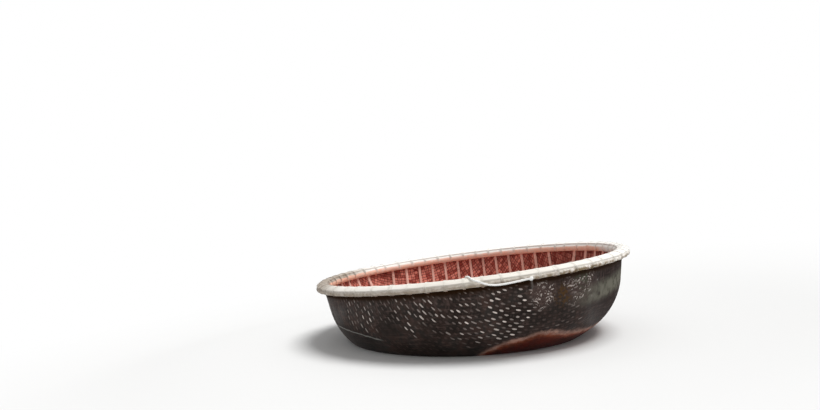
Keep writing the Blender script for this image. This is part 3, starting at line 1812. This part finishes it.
@dataclass
class Bench(SubAssembly):
    """Planks on two bamboo poles, tied down with cord."""

    planks: int = 3
    plank_width: float = 0.098
    plank_gap: float = 0.014
    plank_ease: float = 0.0025
    top: float = 0.275
    bearer_offset: float = 0.450
    bearer_diameter: float = 0.044
    bearer_level: float = 0.2367
    bearer_ease: float = 0.0012
    grain_radius: float = 0.03
    tie_radius: float = 0.0013
    tie_clearance: float = 0.0035
    tie_sink: float = 0.0028
    tie_rounding: float = 0.003

    def build_planks(self) -> None:
        """Eases the planks' edges."""
        for number in range(1, self.planks + 1):
            node = f"bench_plank_{number}"
            piece = eased_copy(node, f"bench_board_{number}", self.plank_ease, 3, 40.0)
            smooth_by_angle(piece, 40.0)
            self.finishes.dress(piece, FinishName.PLANK, node)

    def build_pole(self, number: int, side: float) -> None:
        """Smooths a pole and gives it its grain.

        Args:
            number: the pole's number.
            side: its place along X.
        """
        node = f"bench_bearer_{number}"
        piece = eased_copy(node, f"bench_pole_{number}", self.bearer_ease, 2, 45.0)
        x, y, z = coordinates(piece).T
        turn = np.arctan2(z - self.bearer_level, x - side) * self.grain_radius
        write_uv(piece, "grain", np.column_stack([turn, y]))
        smooth_by_angle(piece, 35.0)
        self.finishes.dress(piece, FinishName.POLE, node)

    def tie(self, across: float, side: float, spread: float) -> bpy.types.Object:
        """One turn of a tie: a closed cord round a plank and a pole.

        Args:
            across: the plank's middle along Y.
            side: the pole's place along X.
            spread: how far this turn lies from the tie's middle line.

        Returns:
            The turn, with its grain map.
        """
        out = self.bearer_diameter / 2 + self.tie_clearance + spread
        edge = self.plank_width / 2 + self.tie_clearance
        high = self.top - self.tie_sink
        low = self.bearer_level - self.bearer_diameter / 2 - self.tie_sink
        corners = []
        for index, (one, other) in enumerate(((1, 1), (1, -1), (-1, -1), (-1, 1))):
            for height in ((high, low) if index % 2 else (low, high)):
                corners.append(Vector((side + one * out, across + other * edge, height)))
        line = []
        for index, corner in enumerate(corners):
            for other in (corners[index - 1], corners[(index + 1) % len(corners)]):
                line.append(corner + (other - corner).normalized() * self.tie_rounding)
        piece = link_new("tie_turn", curve_mesh(
            line, "POLY", {"use_cyclic_u": True}, bevel_depth=self.tie_radius,
            bevel_resolution=2))
        clean_mesh(piece, 1e-6)
        x, y, z = coordinates(piece).T
        write_uv(piece, "grain", np.column_stack([z, x + y]))
        return piece

    def build_ties(self, number: int, side: float) -> None:
        """Ties each plank down over one pole.

        Args:
            number: the pole's number.
            side: its place along X.
        """
        made = []
        for plank in range(self.planks):
            across = (plank - (self.planks - 1) / 2) * (self.plank_width + self.plank_gap)
            made += [self.tie(across, side, spread)
                     for spread in (-self.tie_radius, self.tie_radius)]
        piece = join(made, f"bench_cord_ties_{number}")
        smooth_by_angle(piece, 60.0)
        self.finishes.dress(piece, FinishName.CANE, f"bench_ties_{number}")

    def build(self) -> None:
        """Builds the bench in place of the CAD one."""
        sides = (1, -self.bearer_offset), (2, self.bearer_offset)
        self.build_planks()
        for build in (self.build_pole, self.build_ties):
            for number, side in sides:
                build(number, side)


@dataclass
class LaidRope:
    """A three-strand rope that follows a smooth line."""

    radius: float = 0.006
    strands: int = 3
    corners: int = 18
    lay: float = 0.034
    groove: float = 0.24
    knot_turns: float = 2.2
    knot_core: float = 0.0062
    knot_pitch: float = 0.0105
    knot_through: float = 0.024
    knot_steps: int = 22
    tuck: float = 0.45
    tuck_share: float = 0.14

    def line(self, route: Sequence[Vector]) -> list[Vector]:
        """The smooth line that a route's points control.

        Args:
            route: the points.

        Returns:
            Close points along it.
        """
        mesh = curve_mesh(route, "NURBS", {"order_u": 3, "use_endpoint_u": True},
                          resolution_u=14)
        points = [vertex.co.copy() for vertex in mesh.vertices]
        bpy.data.meshes.remove(mesh)
        return points

    def sweep(self, name: str, path: Sequence[Vector], taper: int = 0) -> bpy.types.Object:
        """Lays the strands along a line.

        Args:
            name: the rope's name.
            path: close points along the line.
            taper: how many points at each end narrow to a tip.

        Returns:
            The rope as a closed mesh.
        """
        corners, last = self.corners, len(path) - 1
        side = (path[1] - path[0]).orthogonal().normalized()
        travelled, rows, faces = 0.0, [], []
        for index, here in enumerate(path):
            before, after = path[max(index - 1, 0)], path[min(index + 1, last)]
            ahead = (after - before).normalized()
            side = (side - ahead * side.dot(ahead)).normalized()
            other = ahead.cross(side)
            travelled += (here - before).length
            spin = 2 * math.pi * travelled / self.lay
            edge = min(index, last - index)
            narrow = math.sqrt(min(1.0, (edge + 0.4) / taper)) if taper else 1.0
            for corner in range(corners):
                angle = 2 * math.pi * corner / corners
                bulge = abs(math.cos(self.strands / 2 * (angle - spin)))
                reach = self.radius * narrow * (1 - self.groove * (1 - bulge))
                rows.append(here + (side * math.cos(angle) + other * math.sin(angle)) * reach)
        for base in range(0, last * corners, corners):
            for corner in range(corners):
                one, two = base + corner, base + (corner + 1) % corners
                faces.append((one, two, two + corners, one + corners))
        faces += [tuple(reversed(range(corners))),
                  tuple(range(last * corners, (last + 1) * corners))]
        mesh = bpy.data.meshes.new(name)
        mesh.from_pydata(rows, [], faces)
        piece = link_new(name, mesh)
        clean_mesh(piece, 1e-7)
        smooth_by_angle(piece, 60.0)
        return piece

    def knot(self, name: str, at: Vector, axis: Vector) -> bpy.types.Object:
        """A stopper knot: turns of the rope round itself.

        Args:
            name: its name.
            at: its middle.
            axis: the rope's direction through it.

        Returns:
            The knot.
        """
        turned = axis.to_track_quat("Z", "Y")
        length = (self.knot_turns - 1) * self.knot_pitch
        count = int(self.knot_turns * self.knot_steps)
        path = []
        for share in np.linspace(0, 1, count + 1):
            angle = 2 * math.pi * self.knot_turns * share
            end = max(0.0, abs(2 * share - 1) - (1 - self.tuck_share)) / self.tuck_share
            reach = self.knot_core * (1.0 - self.tuck * end)
            path.append(at + turned @ Vector((
                reach * math.cos(angle), reach * math.sin(angle), (share - 0.5) * length)))
        through = [at + axis * (share - 0.5) * self.knot_through
                   for share in np.linspace(0, 1, 10)]
        return join([self.sweep(name, path, 5), self.sweep(name + "_core", through)], name)


@dataclass
class MooringRope(SubAssembly):
    """The white rope over the rim, made fast on its outer face, and its tail inside."""

    rope: LaidRope = field(default_factory=LaidRope)
    knot_along: float = 0.312
    knot_out: float = 0.0579
    knot_up: float = -0.022
    knot_length: float = 0.024
    knot_radius: float = 0.012

    def end_knot(self, name: str, route: Sequence[Vector]) -> bpy.types.Object:
        """The knot past the end of a route, by its name."""
        axis = (route[-1] - route[-2]).normalized()
        return self.rope.knot(name, route[-1] + axis * (self.knot_length / 2), axis)

    def build(self) -> None:
        """Builds the rope, its tail and its knots in place of the CAD ones."""
        point = self.form.rope_point
        knot_at = point(self.knot_along, self.knot_out, self.knot_up)
        aim = point(self.knot_along - self.knot_length / 2, self.knot_out, self.knot_up)
        knot_axis = (aim - knot_at).normalized()
        route = [
            knot_at + knot_axis * (self.knot_length / 2),
            point(0.249, 0.058, -0.025),
            point(0.192, 0.0575, -0.030),
            point(0.122, 0.0575, -0.032),
            point(0.068, 0.058, -0.020),
            point(0.029, 0.056, 0.002),
            point(-0.002, 0.040, 0.011),
            point(-0.020, 0.002, 0.021),
            point(-0.036, -0.036, 0.012),
            point(-0.048, -0.055, -0.010),
            point(-0.050, -0.053, -0.052),
            point(-0.049, -0.043, -0.094),
            point(-0.051, -0.035, -0.141),
        ]
        tail_route = [
            point(0.313, self.knot_out, self.knot_up - self.knot_radius),
            point(0.316, 0.058, -0.060),
            point(0.319, 0.046, -0.080),
            point(0.323, 0.024, -0.093),
            point(0.328, -0.020, -0.097),
        ]
        line, tail_line = self.rope.line(route), self.rope.line(tail_route)
        rope = self.rope.sweep("mooring_rope", line)
        tail = self.rope.sweep("mooring_rope_tail", tail_line)
        knot = self.rope.knot("mooring_knot", knot_at, knot_axis)
        end_knot = self.end_knot("mooring_end_knot", route)
        tail_knot = self.end_knot("mooring_tail_knot", tail_route)
        dark = self.finishes.tarred_cord
        for piece, node, material in (
            (rope, "rope", None), (knot, "rope_knot", None), (end_knot, "rope_end_knot", None),
            (tail, "rope_tail", dark), (tail_knot, "rope_tail_knot", dark),
        ):
            self.finishes.dress(piece, FinishName.ROPE, node, material)


# Studio

def seen_directly(sheet: Sheet) -> Signal:
    """Whether a ray comes from the camera, straight or by way of a shiny or clear surface."""
    rays = sheet.outputs(sheet.add("ShaderNodeLightPath"))
    return rays["Is Camera Ray"].most(rays["Is Glossy Ray"].most(rays["Is Transmission Ray"]))


@dataclass
class Studio:
    """Floor at the waterline, soft light and the camera."""

    form: HullForm
    plane: FloatPlane = FloatPlane()
    floor_colour: Colour = (0.76, 0.76, 0.755)
    white: Colour = (1.0, 1.0, 1.0)
    floor_segments: int = 180
    floor_reach: float = 3.0
    floor_inset: float = 0.004
    edge_between: Span = (0.55, 1.25)
    edge_steps: int = 1401
    fade: Span = (1.9, 5.2)
    ambient: float = 0.50
    sun_strength: float = 2.65
    sun_from: Place = (0.45, -0.05, 1.0)
    sun_softness: float = math.radians(30.0)
    lens: float = 37.317
    camera_place: Place = (0.0, -5.7464, 0.9837)
    camera_turn: tuple[float, float, float, float] = (0.711000, 0.699643, 0.066534, -0.023493)

    def waterline_radius(self, bearing: float) -> float:
        """The hull's radius where the floor meets it, just inside its outer surface.

        Args:
            bearing: the direction from the axis.

        Returns:
            The radius.
        """
        lengths = np.linspace(*self.edge_between, self.edge_steps)
        radius, height = self.form.at(lengths, self.floor_inset)
        floor = self.plane.height(radius * math.cos(bearing), radius * math.sin(bearing))
        return float(radius[np.argmax(height > floor)])

    def build_floor(self) -> None:
        """Builds a wide floor with a hole for the hull."""
        bearings = np.arange(self.floor_segments) * (2 * math.pi / self.floor_segments)
        shares = (0.0, 0.01, 0.03, 0.06, 0.10, 0.15, 0.22, 0.30, 0.40, 0.52, 0.66, 0.82, 1.0,
                  1.2, 1.5, 1.9, 2.5, 3.5, 6.0, 12.0, 30.0)
        floor = add_primitive("studio_floor", bpy.ops.mesh.primitive_circle_add,
                              vertices=self.floor_segments, radius=1.0)
        with editing():
            for _ in shares[1:]:
                bpy.ops.mesh.extrude_edges_move(TRANSFORM_OT_translate={"value": (0, 0, 0)})
        inner = np.array([self.waterline_radius(bearing) for bearing in bearings])
        points = []
        for share in shares:
            radius = self.floor_reach * share + inner * max(0.0, 1 - share)
            x, y = radius * np.cos(bearings), radius * np.sin(bearings)
            points.append(np.column_stack([x, y, self.plane.height(x, y)]))
        move_vertices(floor, np.vstack(points))
        activate(floor)
        bpy.ops.object.shade_smooth()
        floor.data.materials.append(self.floor_material())

    def floor_material(self) -> bpy.types.Material:
        """Makes a pale floor that fades to white far from the boat.

        Returns:
            The material.
        """
        material = bpy.data.materials.new("studio_floor")
        material.use_nodes = True
        sheet = Sheet(material.node_tree)
        shader = material.node_tree.nodes["Principled BSDF"]
        for name, value in (("Base Color", self.floor_colour), ("Roughness", 0.9),
                            ("Specular IOR Level", 0.1)):
            sheet.feed(shader.inputs[name], value)
        length = sheet.take("ShaderNodeVectorMath", {0: sheet.place()}, "Value",
                            operation="LENGTH")
        far = length.step(*self.fade) * seen_directly(sheet)
        mixed = sheet.take("ShaderNodeMixShader", {
            0: far, 1: Signal(sheet, shader.outputs[0]), 2: sheet.take("ShaderNodeEmission")})
        sheet.feed(material.node_tree.nodes["Material Output"].inputs[0], mixed)
        return material

    def build_world(self) -> None:
        """Builds even light from all round, with a white background behind the boat."""
        world = bpy.data.worlds.new("studio_world")
        bpy.context.scene.world = world
        world.use_nodes = True
        sheet = Sheet(world.node_tree)
        plain = world.node_tree.nodes["Background"]
        sheet.feed(plain.inputs["Color"], self.white)
        sheet.feed(plain.inputs["Strength"], self.ambient)
        backdrop = sheet.take("ShaderNodeBackground", {"Color": self.white})
        mixed = sheet.take("ShaderNodeMixShader", {
            0: seen_directly(sheet), 1: Signal(sheet, plain.outputs[0]), 2: backdrop})
        sheet.feed(world.node_tree.nodes["World Output"].inputs[0], mixed)

    def build_lamps(self) -> None:
        """Builds one broad high light from the right and behind."""
        lamp = bpy.data.lights.new("high_light", "SUN")
        lamp.energy = self.sun_strength
        lamp.angle = self.sun_softness
        holder = link_new("high_light", lamp)
        holder.rotation_mode = "QUATERNION"
        holder.rotation_quaternion = Vector(self.sun_from).to_track_quat("Z", "Y")

    def build_camera(self) -> None:
        """Builds the camera, where the photograph was taken from."""
        data = bpy.data.cameras.new("camera")
        data.sensor_width = 36.0
        data.lens = self.lens
        data.clip_start, data.clip_end = 0.05, 200.0
        holder = link_new("camera", data)
        holder.rotation_mode = "QUATERNION"
        holder.location = self.camera_place
        holder.rotation_quaternion = Quaternion(self.camera_turn)
        bpy.context.scene.camera = holder

    def build(self) -> None:
        """Sets up the floor, the light and the camera."""
        self.build_camera()
        self.build_floor()
        self.build_world()
        self.build_lamps()
        bpy.context.scene.view_settings.view_transform = "Standard"


def main() -> None:
    """Builds the boat's visible pieces in order, then notes both boxes."""
    logging.basicConfig(level=logging.INFO, format="%(message)s")
    form = HullForm()
    Studio(form).build()
    finishes = Finishes()
    for kind in (MooringRope, WovenHull, RimBundle, RimLashings, Ribs, Bench):
        kind(form, finishes).build()
    deselect_all()
    bpy.context.view_layer.update()


if __name__ == "__main__":
    main()
